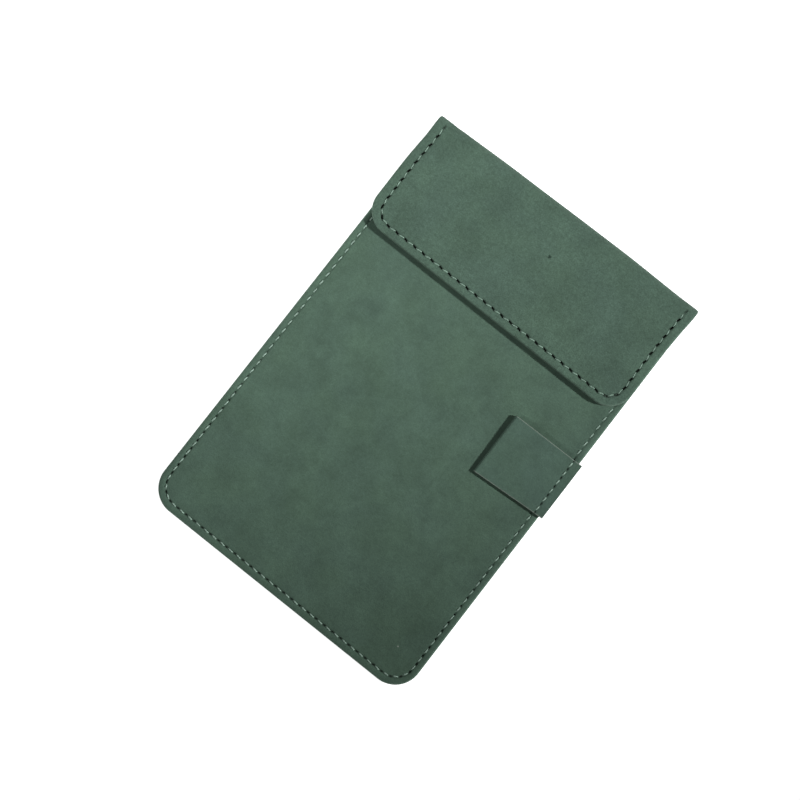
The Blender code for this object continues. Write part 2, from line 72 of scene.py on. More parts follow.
HALF_W = FRONT_HI[0]
LOW_Y = FRONT_LO[1]
MOUTH_Y = FRONT_HI[1]
PANEL_TOP_Y = FLAP_HI[1]
Z_FRONT = FRONT_HI[2]
FRONT_DEPTH = FRONT_HI[2] - FRONT_LO[2]
BACK_DEPTH = BACK_HI[2] - BACK_LO[2]
FOLD_Y = FOLD_HI[1]
Z_TOP = FOLD_HI[2]
Z_FLAP = FLAP_LO[2]
FLAP_HALF = FLAP_HI[0]
FLAP_Y = FLAP_LO[1]
SKIN = 0.8
CORNER_R = 9.0
FLAP_R = 8.5
BEND_R = 3.0
BEND_Y = FOLD_Y - BEND_R
QUARTER = BEND_R * math.pi / 2
FACE = (Z_TOP - 2 * BEND_R) / 2  # half of the fold's upright face
SHEET_END = BEND_Y + QUARTER + FACE

# ------------------------------------------------------------------ materials


def srgb(r, g, b):
    """Linear colour of an 8-bit screen colour."""
    out = []
    for v in (r, g, b):
        v /= 255.0
        out.append(v / 12.92 if v <= 0.04045 else ((v + 0.055) / 1.055) ** 2.4)
    return (*out, 1.0)


class Nodes:
    """Short hand for building one material's node tree."""

    def __init__(self, name):
        self.material = bpy.data.materials.new(name)
        self.material.use_nodes = True
        self.tree = self.material.node_tree
        self.shader = self.tree.nodes["Principled BSDF"]

    def new(self, kind, **settings):
        node = self.tree.nodes.new(kind)
        for key, value in settings.items():
            setattr(node, key, value)
        return node

    def link(self, a, b):
        self.tree.links.new(a, b)

    def attribute(self, name, output="Fac"):
        return self.new("ShaderNodeAttribute", attribute_name=name).outputs[output]

    def coords(self, attribute=None):
        """Position in millimetres: a rest position kept on the mesh, or the object's own."""
        if attribute:
            return self.attribute(attribute, "Vector")
        source = self.new("ShaderNodeTexCoord").outputs["Object"]
        scaled = self.new("ShaderNodeVectorMath", operation="SCALE")
        self.link(source, scaled.inputs[0])
        scaled.inputs["Scale"].default_value = 1000.0
        return scaled.outputs[0]

    def stretch(self, vector, scale, rotation=(0, 0, 0), location=(0, 0, 0)):
        mapping = self.new("ShaderNodeMapping")
        self.link(vector, mapping.inputs["Vector"])
        mapping.inputs["Scale"].default_value = scale
        mapping.inputs["Rotation"].default_value = rotation
        mapping.inputs["Location"].default_value = location
        return mapping.outputs[0]

    def noise(self, vector, scale, detail=3.0, rough=0.5, distortion=0.0):
        node = self.new("ShaderNodeTexNoise")
        self.link(vector, node.inputs["Vector"])
        node.inputs["Scale"].default_value = scale
        node.inputs["Detail"].default_value = detail
        node.inputs["Roughness"].default_value = rough
        node.inputs["Distortion"].default_value = distortion
        return node.outputs["Fac"]

    def math(self, operation, a, b=None, clamp=False):
        node = self.new("ShaderNodeMath", operation=operation)
        node.use_clamp = clamp
        for socket, value in zip(node.inputs, (a, b)):
            if value is None:
                continue
            if isinstance(value, (int, float)):
                socket.default_value = value
            else:
                self.link(value, socket)
        return node.outputs[0]

    def remap(self, value, a, b, c, d):
        node = self.new("ShaderNodeMapRange")
        self.link(value, node.inputs["Value"])
        for key, v in zip(("From Min", "From Max", "To Min", "To Max"), (a, b, c, d)):
            node.inputs[key].default_value = v
        return node.outputs[0]

    def mix(self, factor, a, b, blend="MIX"):
        node = self.new("ShaderNodeMix", data_type="RGBA", blend_type=blend)
        for socket, value in zip((node.inputs[0], node.inputs[6], node.inputs[7]), (factor, a, b)):
            if hasattr(value, "links"):
                self.link(value, socket)
            else:
                socket.default_value = value
        return node.outputs[2]

    def scale_colour(self, colour, factor):
        """colour times a grey factor."""
        grey = self.new("ShaderNodeCombineColor")
        for i in range(3):
            self.link(factor, grey.inputs[i])
        return self.mix(1.0, colour, grey.outputs[0], "MULTIPLY")

    def bump(self, height, distance, strength=1.0, normal=None):
        node = self.new("ShaderNodeBump")
        node.inputs["Strength"].default_value = strength
        node.inputs["Distance"].default_value = distance
        self.link(height, node.inputs["Height"])
        if normal is not None:
            self.link(normal, node.inputs["Normal"])
        return node.outputs[0]

    def finish(self, colour=None, rough=None, normal=None):
        for socket, value in (("Base Color", colour), ("Roughness", rough), ("Normal", normal)):
            if value is not None:
                self.link(value, self.shader.inputs[socket])
        return self.material


def nubuck(name, colour, edge_gain=1.05, seed=0.0, nap_gain=0.1, fine_gain=0.14, hole_shade_tone=(0.11, 1.0), flecks=()):
    """Brushed nubuck-faced leather: cloudy tone, fine nap, painted shade in the needle holes and a painted
    highlight along turned edges.
    """
    n = Nodes(name)
    v = n.stretch(n.coords("rest_mm"), (1, 1, 1), location=(seed, seed * 0.7, 0))
    cloud = n.noise(v, 0.085, 3.0, 0.55, 0.3)
    patch = n.noise(v, 0.33, 3.0, 0.6, 0.2)
    nap = n.noise(v, 1.0, 3.0, 0.7)
    fine = n.noise(v, 2.4, 2.0, 0.6)
    tone = n.math("MULTIPLY", n.remap(cloud, 0.3, 0.7, 0.88, 1.12), n.remap(patch, 0.3, 0.7, 0.93, 1.07))
    tone = n.math("MULTIPLY", tone, n.remap(nap, 0.25, 0.75, 1 - nap_gain, 1 + nap_gain))
    tone = n.math("MULTIPLY", tone, n.remap(fine, 0.25, 0.75, 1 - fine_gain, 1 + fine_gain))
    margin = n.attribute("margin")
    tone = n.math("MULTIPLY", tone, n.remap(margin, 0, 1, 1.0, edge_gain))
    drift = n.noise(n.stretch(v, (1, 1, 1), location=(90, 40, 0)), 0.06, 2.0, 0.5)
    warm = tuple(c * k for c, k in zip(colour[:3], (1.0, 1.008, 0.98))) + (1.0,)
    cool = tuple(c * k for c, k in zip(colour[:3], (0.992, 0.99, 1.012))) + (1.0,)
    base = n.mix(n.remap(drift, 0.35, 0.65, 0.0, 1.0), warm, cool)
    colour_out = n.scale_colour(base, tone)
    for (fx, fy), size, ink in flecks:
        gap = n.new("ShaderNodeVectorMath", operation="DISTANCE")
        flat = n.stretch(n.coords("rest_mm"), (1, 1, 0))
        n.link(flat, gap.inputs[0])
        gap.inputs[1].default_value = (fx, fy, 0)
        ragged = n.math("ADD", gap.outputs["Value"], n.remap(fine, 0.3, 0.7, -0.12, 0.12))
        colour_out = n.mix(n.remap(ragged, size, size * 0.5, 0.0, 0.8), colour_out, ink)
    # painted highlight along the crown of turned edges, broken up by the nap
    rim_highlight_mask = n.attribute("rim_highlight")
    rim_highlight_amount = n.math("MULTIPLY", rim_highlight_mask, n.remap(nap, 0.35, 0.65, 0.5, 1.0))
    light = tuple(min(1.0, c * 1.9 + 0.02) for c in colour[:3]) + (1.0,)
    colour_out = n.mix(rim_highlight_amount, colour_out, light)
    # painted shade in the needle holes and, faintly, along the stitch groove
    hole = n.math("MINIMUM", n.math("MULTIPLY", n.attribute("hole"), hole_shade_tone[1]), 1.0)
    hole_shade_colour = tuple(c * hole_shade_tone[0] for c in colour[:3]) + (1.0,)
    colour_out = n.mix(hole, colour_out, hole_shade_colour)
    height = n.math("ADD", n.math("MULTIPLY", nap, 0.55), n.math("MULTIPLY", fine, 0.45))
    normal = n.bump(height, 0.00016, 0.7)
    n.shader.inputs["Roughness"].default_value = 0.93
    n.shader.inputs["Specular IOR Level"].default_value = 0.22
    n.shader.inputs["Sheen Weight"].default_value = 0.12
    n.shader.inputs["Sheen Roughness"].default_value = 0.5
    n.shader.inputs["Sheen Tint"].default_value = (0.75, 0.9, 0.8, 1.0)
    return n.finish(colour_out, None, normal)


def raw_leather(name, colour):
    """The cut edge of the strap: pale fibres in thin layers."""
    n = Nodes(name)
    v = n.coords("rest_mm")
    fibre = n.noise(n.stretch(v, (1.2, 1.2, 14.0)), 1.6, 3.0, 0.6)
    speck = n.noise(v, 5.0, 2.0, 0.6)
    tone = n.math("MULTIPLY", n.remap(fibre, 0.3, 0.7, 0.82, 1.16), n.remap(speck, 0.3, 0.7, 0.9, 1.1))
    normal = n.bump(n.math("ADD", fibre, speck), 0.00008, 0.6)
    n.shader.inputs["Roughness"].default_value = 0.9
    return n.finish(n.scale_colour(colour, tone), None, normal)


def fabric_lining(name, colour, attribute=None):
    n = Nodes(name)
    v = n.coords(attribute)
    a = n.new("ShaderNodeTexWave", wave_type="BANDS", bands_direction="X")
    b = n.new("ShaderNodeTexWave", wave_type="BANDS", bands_direction="Y")
    for wave in (a, b):
        n.link(v, wave.inputs["Vector"])
        wave.inputs["Scale"].default_value = 0.9
        wave.inputs["Distortion"].default_value = 0.6
        wave.inputs["Detail"].default_value = 1.0
    weave = n.math("MULTIPLY", a.outputs["Fac"], b.outputs["Fac"])
    cloud = n.noise(v, 0.12, 3.0, 0.5)
    fuzz = n.noise(v, 4.0, 2.0, 0.6)
    tone = n.math("MULTIPLY", n.remap(cloud, 0.3, 0.7, 0.93, 1.07), n.remap(fuzz, 0.3, 0.7, 0.92, 1.08))
    tone = n.math("MULTIPLY", tone, n.remap(weave, 0, 1, 0.92, 1.08))
    normal = n.bump(n.math("ADD", weave, fuzz), 0.00005, 0.5)
    n.shader.inputs["Roughness"].default_value = 0.95
    n.shader.inputs["Sheen Weight"].default_value = 0.1
    return n.finish(n.scale_colour(colour, tone), None, normal)


def thread_material(name, colour):
    n = Nodes(name)
    v = n.coords("rest_mm")
    ply = n.noise(v, 3.0, 2.0, 0.6)
    slow = n.noise(v, 0.5, 2.0, 0.5)
    tone = n.math("MULTIPLY", n.remap(ply, 0.3, 0.7, 0.82, 1.14), n.remap(slow, 0.3, 0.7, 0.86, 1.12))
    normal = n.bump(ply, 0.00004, 0.5)
    n.shader.inputs["Roughness"].default_value = 0.62
    n.shader.inputs["Sheen Weight"].default_value = 0.15
    return n.finish(n.scale_colour(colour, tone), None, normal)


def board_material(name, colour, speck=0.12):
    n = Nodes(name)
    v = n.coords()
    pulp = n.noise(v, 0.9, 4.0, 0.65)
    fleck = n.noise(n.stretch(v, (1.0, 3.0, 1.0)), 3.2, 2.0, 0.7)
    tone = n.math(
        "MULTIPLY",
        n.remap(pulp, 0.3, 0.7, 1 - speck / 2, 1 + speck / 2),
        n.remap(fleck, 0.3, 0.7, 1 - speck, 1 + speck),
    )
    rough = n.remap(pulp, 0.3, 0.7, 0.82, 0.95)
    normal = n.bump(n.math("ADD", pulp, fleck), 0.00003, 0.4)
    return n.finish(n.scale_colour(colour, tone), rough, normal)


def paper_material(name, colour, ruled):
    """Cream writing paper, ruled on its broad faces only."""
    n = Nodes(name)
    v = n.coords()
    tooth = n.noise(v, 3.5, 3.0, 0.6)
    wash = n.noise(v, 0.05, 2.0, 0.5)
    tone = n.math("MULTIPLY", n.remap(tooth, 0.3, 0.7, 0.975, 1.02), n.remap(wash, 0.3, 0.7, 0.98, 1.01))
    colour_out = n.scale_colour(colour, tone)
    if ruled:
        parts = n.new("ShaderNodeSeparateXYZ")
        n.link(v, parts.inputs[0])
        cycle = n.math("FRACT", n.math("DIVIDE", n.math("ADD", parts.outputs["Y"], 400.0), 6.5))
        line = n.math("LESS_THAN", n.math("ABSOLUTE", n.math("SUBTRACT", cycle, 0.5)), 0.018)
        normal_z = n.new("ShaderNodeSeparateXYZ")
        n.link(n.new("ShaderNodeNewGeometry").outputs["Normal"], normal_z.inputs[0])
        flat = n.math("GREATER_THAN", n.math("ABSOLUTE", normal_z.outputs["Z"]), 0.9)
        colour_out = n.mix(n.math("MULTIPLY", line, flat), colour_out, srgb(150, 160, 165))
    normal = n.bump(tooth, 0.00001, 0.3)
    n.shader.inputs["Roughness"].default_value = 0.9
    return n.finish(colour_out, None, normal)


def metal_material(name, colour, rough):
    n = Nodes(name)
    v = n.coords()
    brushed = n.noise(n.stretch(v, (1.0, 9.0, 1.0)), 2.0, 3.0, 0.6)
    spot = n.noise(v, 0.7, 3.0, 0.6)
    tone = n.math("MULTIPLY", n.remap(brushed, 0.3, 0.7, 0.92, 1.06), n.remap(spot, 0.3, 0.7, 0.94, 1.03))
    n.shader.inputs["Metallic"].default_value = 1.0
    normal = n.bump(brushed, 0.00001, 0.3)
    return n.finish(n.scale_colour(colour, tone), n.remap(brushed, 0.3, 0.7, rough - 0.08, rough + 0.1), normal)


BODY_GREEN = srgb(79, 102, 88)
NUBUCK_BODY = nubuck(
    "nubuck_body", BODY_GREEN, nap_gain=0.12, fine_gain=0.16, flecks=[((40.0, -63.5), 0.36, srgb(150, 160, 150))]
)
NUBUCK_BACK = nubuck("nubuck_back", BODY_GREEN, nap_gain=0.12, fine_gain=0.16)
NUBUCK_FLAP = nubuck(
    "nubuck_flap",
    srgb(75, 97, 84),
    seed=37.0,
    nap_gain=0.21,
    fine_gain=0.26,
    hole_shade_tone=(0.03, 1.45),
    flecks=[((4.0, 59.4), 0.7, srgb(28, 44, 36))],
)
NUBUCK_LOOP = nubuck("nubuck_loop", srgb(78, 101, 89), seed=71.0)
LOOP_EDGE = raw_leather("loop_cut_edge", srgb(116, 130, 120))
LINING = fabric_lining("lining_cloth", srgb(58, 74, 66), "rest_mm")
LINING_CAD = fabric_lining("lining_cloth_inner", srgb(58, 74, 66))
THREAD = thread_material("mint_thread", srgb(151, 178, 163))
# the flap's thread: a darker copy of the body thread
THREAD_FLAP = thread_material("mint_thread_darker", srgb(126, 154, 138))
BOARD = board_material("grey_board", srgb(160, 156, 147))
CARD = board_material("stiffener_card", srgb(172, 166, 152))
WELT = board_material("welt_leather", srgb(104, 92, 74), 0.2)
KRAFT = board_material("kraft_cover", srgb(160, 129, 94), 0.14)
PAPER = paper_material("cream_paper", srgb(238, 232, 214), True)
NICKEL = metal_material("nickel_disc", srgb(196, 196, 198), 0.3)
WIRE = metal_material("staple_wire", srgb(204, 204, 206), 0.28)

# --------------------------------------------------------------- mesh helpers


def smooth01(t):
    t = np.clip(t, 0.0, 1.0)
    return t * t * (3 - 2 * t)


def wobble(x, y, scale, seed):
    """Slow, repeatable unevenness between about -1 and 1 at points in millimetres."""
    return np.array(
        [
            noise.noise(Vector((a * scale + seed, b * scale - seed, seed * 0.37))) * 2.0
            for a, b in zip(x, y)
        ]
    )


def build(name, points, faces, attributes, materials, face_materials=None, merge=3e-8):
    """points in millimetres. attributes maps a name to one number or one vector a point."""
    mesh = bpy.data.meshes.new(name)
    mesh.from_pydata((np.asarray(points) * MM).tolist(), [], faces)
    for key, values in attributes.items():
        values = np.asarray(values, np.float32)
        if values.ndim == 1:
            mesh.attributes.new(key, "FLOAT", "POINT").data.foreach_set("value", values)
        else:
            mesh.attributes.new(key, "FLOAT_VECTOR", "POINT").data.foreach_set(
                "vector", values.reshape(-1)
            )
    for material in materials:
        mesh.materials.append(material)
    if face_materials is not None:
        mesh.polygons.foreach_set("material_index", np.asarray(face_materials, np.int32))
    work = bmesh.new()
    work.from_mesh(mesh)
    bmesh.ops.remove_doubles(work, verts=work.verts, dist=merge)
    # slivers left where merged points met: drop repeated faces and close what they leave open
    crowded = [e for e in work.edges if len(e.link_faces) > 2]
    spare = [f for f in {f for e in crowded for f in e.link_faces} if f.calc_area() < 1e-12]
    bmesh.ops.delete(work, geom=spare, context="FACES")
    bmesh.ops.delete(work, geom=[e for e in work.edges if not e.link_faces], context="EDGES")
    bmesh.ops.delete(work, geom=[v for v in work.verts if not v.link_faces], context="VERTS")
    open_edges = [e for e in work.edges if len(e.link_faces) == 1]
    if open_edges:
        bmesh.ops.holes_fill(work, edges=open_edges, sides=0)
    bmesh.ops.recalc_face_normals(work, faces=work.faces)
    work.to_mesh(mesh)
    work.free()
    mesh.shade_smooth()
    mesh.set_sharp_from_angle(angle=math.radians(50))
    obj = bpy.data.objects.new(name, mesh)
    bpy.context.scene.collection.objects.link(obj)
    return obj


class Seam:
    """Stitch positions along a seam. A stitch runs from one needle hole to the next."""

    def __init__(self, length, pitch, first, hole_long, hole_wide, depth, tilt=0.0, deep=0.42):
        start, stop = pitch if isinstance(pitch, tuple) else (pitch, pitch)
        places = [first]
        while places[-1] < length - first - stop:
            share = places[-1] / length
            places.append(places[-1] + start + (stop - start) * share)
        self.holes = np.array(places)
        self.long, self.wide, self.depth = hole_long, hole_wide, depth
        self.tilt, self.deep = tilt, deep

    def dimple(self, s, off):
        """0 to 1 where a needle hole is, for points at s along the seam and off across it."""
        if not len(self.holes):
            return np.zeros_like(s)
        between = (self.holes[1:] + self.holes[:-1]) / 2
        along = s - self.holes[np.searchsorted(between, s)]
        across = off - self.tilt * along
        q = (along / self.long) ** 2 + (across / self.wide) ** 2
        weight = np.ones(len(self.holes))
        weight[[0, -1]] = 0.35
        return weight[np.searchsorted(between, s)] * np.exp(-(q**2))


class Panel:
    """A sheet with a turned edge on three sides, built from rings inside its outline."""

    def __init__(
        self, half, low, end, radius, step, seam_side, seam_low, end_scale, coarse=4, bend_from=None
    ):
        self.half, self.low, self.end, self.radius = half, low, end, radius
        self.m = coarse

        def count(length):
            return max(coarse, int(round(length / step / coarse)) * coarse)

        self.nb = count(2 * (half - radius))
        corner_y = low + radius
        if bend_from is None:
            self.ns = count(end - corner_y)
            self.side_t = np.linspace(0, 1, self.ns + 1)
        else:
            fine = 16 * coarse
            rest = count(bend_from - corner_y)
            self.ns = fine + rest
            split = (end - bend_from) / (end - corner_y)
            self.side_t = np.r_[
                np.linspace(0, split, fine + 1)[:-1], np.linspace(split, 1, rest + 1)
            ]
        self.na = count(radius * math.pi / 2 * 0.8)
        self.end_scale = end_scale
        self.seam_side, self.seam_low = seam_side, seam_low
        blocks = (
            ("side", self.ns),
            ("arc", self.na),
            ("low", self.nb),
            ("arc", self.na),
            ("side", self.ns),
            ("joint", 1),
            ("end", self.nb),
            ("joint", 1),
        )
        self.blocks = blocks
        self.n = sum(count for _, count in blocks)
        # inset of the seam line at each ring point
        self.seam = self.per_point(seam_side, seam_low, 0.0)
        path = self.ring(self.seam, self.seam * 0)[: self.n]
        steps = np.linalg.norm(np.diff(path, axis=0, append=path[:1]), axis=1)
        self.s = np.concatenate([[0], np.cumsum(steps)[:-1]])
        self.stitched = np.zeros(self.n, bool)
        self.stitched[: 2 * self.ns + 2 * self.na + self.nb + 1] = True
        self.length = self.s[2 * self.ns + 2 * self.na + self.nb]
        self.is_end = ~self.stitched

    def per_point(self, side, low, end):
        values = []
        seen_arc = 0
        for kind, count in self.blocks:
            t = np.arange(count) / count
            if kind == "side":
                values.append(np.full(count, side))
            elif kind == "low":
                values.append(np.full(count, low))
            elif kind == "arc":
                a, b = (side, low) if seen_arc == 0 else (low, side)
                values.append(a + (b - a) * smooth01(t))
                seen_arc += 1
            else:
                values.append(np.full(count, end))
        return np.concatenate(values)

    def ring(self, inset, end_inset):
        """(x, y) of each ring point for an inset, one number or one a point."""
        inset = np.broadcast_to(np.asarray(inset, float), (self.n,))
        end_inset = np.broadcast_to(np.asarray(end_inset, float), (self.n,))
        h, r = self.half, self.radius
        out = np.empty((self.n, 2))
        i = 0
        corner_y = self.low + r
        ok = [0]

        def put(x, y):
            out[ok[0]] = (x, y)
            ok[0] += 1

        ns, na, nb = self.ns, self.na, self.nb
        for k in range(ns):
            j = ok[0]
            top = self.end - end_inset[j]
            put(-(h - inset[j]), top + (corner_y - top) * self.side_t[k])
        for k in range(na):
            j = ok[0]
            a = math.pi + math.pi / 2 * k / na
            put(-h + r + (r - inset[j]) * math.cos(a), corner_y + (r - inset[j]) * math.sin(a))
        for k in range(nb):
            j = ok[0]
            put(-(h - r) + 2 * (h - r) * k / nb, self.low + inset[j])
        for k in range(na):
            j = ok[0]
            a = 1.5 * math.pi + math.pi / 2 * k / na
            put(h - r + (r - inset[j]) * math.cos(a), corner_y + (r - inset[j]) * math.sin(a))
        for k in range(ns):
            j = ok[0]
            top = self.end - end_inset[j]
            put(h - inset[j], top + (corner_y - top) * self.side_t[ns - k])
        j = ok[0]
        put(h - inset[j], self.end - end_inset[j])
        for k in range(nb):
            j = ok[0]
            put(h - r - 2 * (h - r) * k / nb, self.end - end_inset[j])
        j = ok[0]
        put(-(h - r), self.end - end_inset[j])
        return out

    def inner_grid(self, end_inset):
        """The rectangle inside the rings, as a coarse grid sharing its border's points."""
        cols, rows = self.nb // self.m, self.ns // self.m
        h, r = self.half - self.radius, self.radius
        xs = np.linspace(-h, h, cols + 1)
        low, top = self.low + r, self.end - end_inset
        ys = (top + (low - top) * self.side_t[:: self.m])[::-1]
        return xs, ys


def shell(name, panel, profile, surface, seam=None, materials=(), margin_to=2.2, rim_highlight=None):
    """A closed sheet. profile is a list of (inset, height) rings from the inside of the face, round
    the edge and back under it; an entry may be a function of the ring's y. surface maps
    (x, y, height) to (x, y, z)."""
    pts, faces, hole_w, margin_w, rim_highlight_w = [], [], [], [], []
    n = panel.n
    ring_start = []
    core = profile[0][0]
    core_end = core if panel.end_scale else 1.6
    under = profile[-1][1]
    profile = list(profile) + [(core, under, "core")]
    for number, (inset, height, side) in enumerate(profile):
        end_inset = core_end if number in (0, len(profile) - 1) else inset * panel.end_scale
        xy = panel.ring(inset, end_inset)
        hgt = height(xy[:, 1]) if callable(height) else np.full(n, float(height))
        hole = np.zeros(n)
        if seam is not None and side == "face":
            off = inset - panel.seam
            sewn = (panel.s > seam.holes[0] - 0.9) & (panel.s < seam.holes[-1] + 0.9)
            sewn &= panel.stitched
            hole = np.where(sewn, seam.dimple(panel.s, off), 0.0)
            groove = np.where(sewn, np.exp(-((off / 0.36) ** 2)), 0.0)
            puff = np.where(sewn, np.exp(-(((off + 0.95) / 0.5) ** 2)), 0.0)
            hgt = hgt - seam.depth * groove - seam.deep * hole + 0.05 * puff
            # the hole mask also carries painted shade, faintly along the whole groove
            hole = np.maximum(hole, 0.2 * groove)
        if side == "face":
            hgt = hgt + 0.035 * wobble(xy[:, 0], xy[:, 1], 0.045, 3.1)
        margin = np.where(panel.stitched, 1 - smooth01((inset - panel.seam + 0.35) / 0.4), 0.0)
        if side not in ("face", "core"):
            margin = np.where(panel.stitched, 1.0, 0.0)
        ring_start.append(len(pts))
        pts.extend(np.c_[xy, hgt].tolist())
        hole_w.extend(hole.tolist())
        margin_w.extend(margin.tolist())
        # weight of the painted highlight along the turned edge
        rim_highlight_here = rim_highlight(inset, side) if rim_highlight else 0.0
        rim_highlight_w.extend(np.where(panel.stitched, rim_highlight_here, 0.0).tolist())
    for a, b in zip(ring_start[1:-1], ring_start[2:-1]):
        for i in range(n):
            j = (i + 1) % n
            faces.append((a + i, a + j, b + j, b + i))
    for core_ring, fine_ring, height, flip in (
        (ring_start[0], ring_start[1], profile[0][1], False),
        (ring_start[-1], ring_start[-2], under, True),
    ):
        # the coarse core's border, one polygon for every few points of the fine ring
        i = 0
        for kind, count in panel.blocks:
            group = panel.m if kind != "joint" else 1
            for g in range(0, count, group):
                start, stop = i + g, i + g + group
                fine = [fine_ring + (k % n) for k in range(start, stop + 1)]
                polygon = fine[::-1] + [core_ring + start, core_ring + stop % n]
                faces.append(tuple(polygon[::-1] if flip else polygon))
            i += count
        # the core, whose border points are merged with the ring's afterwards
        xs, ys = panel.inner_grid(core_end)
        base = len(pts)
        gx, gy = np.meshgrid(xs, ys)
        gx, gy = gx.ravel(), gy.ravel()
        gh = height(gy) if callable(height) else np.full(len(gx), float(height))
        if not flip and profile[0][2] == "face":
            gh = gh + 0.035 * wobble(gx, gy, 0.045, 3.1)
        pts.extend(np.c_[gx, gy, gh].tolist())
        for values in (hole_w, margin_w, rim_highlight_w):
            values.extend([0.0] * len(gx))
        w = len(xs)
        for row in range(len(ys) - 1):
            for col in range(w - 1):
                p = base + row * w + col
                quad = (p, p + 1, p + w + 1, p + w)
                faces.append(quad[::-1] if flip else quad)
    flat = np.array(pts)
    placed = surface(flat[:, 0], flat[:, 1], flat[:, 2])
    return build(
        name,
        placed,
        faces,
        {"hole": hole_w, "margin": margin_w, "rim_highlight": rim_highlight_w, "rest_mm": flat},
        materials,
    )


def edge_profile(depth, seam_in, rounding=0.85, outer_to=1.0, coarse_inset=9.0):
    """Rings of a turned edge. depth is a number or a function of y: how far the edge turns down."""

    def deep(y):
        return depth(y) if callable(depth) else np.full(len(y), float(depth))

    rings = [(coarse_inset, 0.0, "face"), (seam_in + 1.9, 0.0, "face")]
    for off in (1.3, 0.95, 0.7, 0.52, 0.38, 0.26, 0.13, 0.0, -0.13, -0.26, -0.38, -0.52, -0.75, -1.05):
        inset = seam_in + off
        if inset > rounding + 0.1:
            rings.append((inset, 0.0, "face"))
    for k in range(0, 7):
        a = math.radians(90 * k / 6)
        ring_in = rounding * (1 - math.sin(a))
        drop = rounding * (1 - math.cos(a))
        rings.append(
            (
                ring_in,
                (lambda y, drop=drop: -drop * np.minimum(1.0, deep(y) * 0.55 / rounding)),
                "edge",
            )
        )
    rings.append((0.0, lambda y: -(deep(y) - 0.25), "edge"))
    rings.append((0.08, lambda y: -(deep(y) - 0.08), "edge"))
    rings.append((0.25, lambda y: -deep(y), "under"))
    rings.append((outer_to, lambda y: -deep(y), "under"))
    rings.append((outer_to + 0.02, lambda y: -np.minimum(deep(y), SKIN), "under"))
    return rings


# ------------------------------------------------------------ how sheets bend


def slump(x):
    """The fold's outer face draws back a little towards both its ends."""
    return 0.36 * smooth01((np.abs(x) - 20) / 28) + 0.2 * smooth01((x - 15) / 30)


def out_of_square(x, y):
    """The sleeve was sewn a hair out of square: its lower edge runs down towards +X."""
    return y - 0.011 * x * smooth01((60 - y) / 130)


def back_surface(x, y, h):
    """Outer face down on Z = 0, then up round the fold to the middle of its face."""
    a = y - BEND_Y
    phi = np.clip(a / BEND_R, 0, math.pi / 2)
    rest = np.maximum(a - QUARTER, 0)
    py = np.where(a <= 0, out_of_square(x, y), BEND_Y + (BEND_R + h) * np.sin(phi) - slump(x) * np.sin(phi))
    pz = np.where(a <= 0, np.maximum(-h, 0), BEND_R - (BEND_R + h) * np.cos(phi) + rest)
    grow = 0.3 * smooth01((y - (MOUTH_Y + 4)) / 12) * np.sign(x) * smooth01(np.abs(x) / HALF_W)
    return np.c_[x + grow, py, pz]


def flap_skew(x, y):
    """The sewn flap sits very slightly askew: it drifts to -X away from the fold."""
    below = np.clip((BEND_Y - y) / (BEND_Y - FLAP_Y), 0, 1)
    sx = 0.12 - 0.54 * smooth01(below / 0.44) + 0.07 * smooth01((below - 0.44) / 0.4)
    narrow = 1 - 0.006 * smooth01(below / 0.18)
    return x * narrow + sx, y - 0.8 * (x / 50.0) * below


def flap_surface(x, y, h):
    a = y - BEND_Y
    phi = np.clip(a / BEND_R, 0, math.pi / 2)
    rest = np.maximum(a - QUARTER, 0)
    sx, sy = flap_skew(x, y)
    py = np.where(a <= 0, sy, BEND_Y + (BEND_R + h) * np.sin(phi) - slump(x) * np.sin(phi))
    pz = np.where(a <= 0, Z_TOP + h, Z_TOP - BEND_R + (BEND_R + h) * np.cos(phi) - rest)
    narrow = 1 - 0.002 * smooth01((y - (BEND_Y - 8)) / 8)
    return np.c_[np.where(a <= 0, sx, flap_skew(x, np.full_like(x, BEND_Y))[0]) * narrow, py, pz]


def front_surface(x, y, h):
    return np.c_[x, out_of_square(x, y), Z_FRONT + h]


def back_depth(y):
    """The back skin's edge is tall beside the pocket, lower above its mouth, and ends at the fold."""
    d = np.full(len(y), BACK_DEPTH)
    shoulder = BLINE_HI[2]
    d = np.where(y > MOUTH_Y + 0.3, shoulder, d)
    t = smooth01((y - 71.4) / 1.6)
    return d + (SKIN - d) * t


def flap_depth(y):
    t = smooth01((y - 71.4) / 1.6)
    return (Z_TOP - Z_FLAP) * (1 - t) + SKIN * t


def painted_rim_highlight(inset, side):
    """Painted highlight along the crown of a turned edge, where its rounding would catch the light."""
    return 0.3 * math.exp(-(((inset - 0.25) / 0.22) ** 2)) if side != "under" else 0.0


# ----------------------------------------------------------------- the pieces
BODY_SEAM = 2.5
STEP = 0.42

front_panel = Panel(HALF_W, LOW_Y, MOUTH_Y, CORNER_R, STEP, BODY_SEAM - 0.2, BODY_SEAM, 1.0)
front_seam = Seam(front_panel.length, 3.2, 1.6, 0.6, 0.3, 0.2, 0.1, 0.36)


def front_depth(y):
    """Turned down as far as the parting line, but only one thickness along the mouth."""
    return np.where(y > MOUTH_Y - 1.2, SKIN, FRONT_DEPTH)


front_skin = shell(
    "front_skin",
    front_panel,
    edge_profile(front_depth, BODY_SEAM),
    front_surface,
    front_seam,
    [NUBUCK_BODY],
    rim_highlight=painted_rim_highlight,
)
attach(front_skin, "sleeve")
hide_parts("front_outer_skin")

back_panel = Panel(
    HALF_W, LOW_Y, SHEET_END, CORNER_R, 0.5, BODY_SEAM - 0.2, BODY_SEAM, 0.0, bend_from=BEND_Y - 1.0
)
back_seam = Seam(front_panel.length, 3.2, 1.6, 0.6, 0.3, 0.24, 0.1, 0.3)
back_seam.holes = front_seam.holes + (SHEET_END - MOUTH_Y)
back_skin = shell(
    "back_skin",
    back_panel,
    edge_profile(back_depth, BODY_SEAM),
    back_surface,
    back_seam,
    [NUBUCK_BACK],
    rim_highlight=painted_rim_highlight,
)
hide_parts("back_outer_skin")
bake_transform(back_skin)

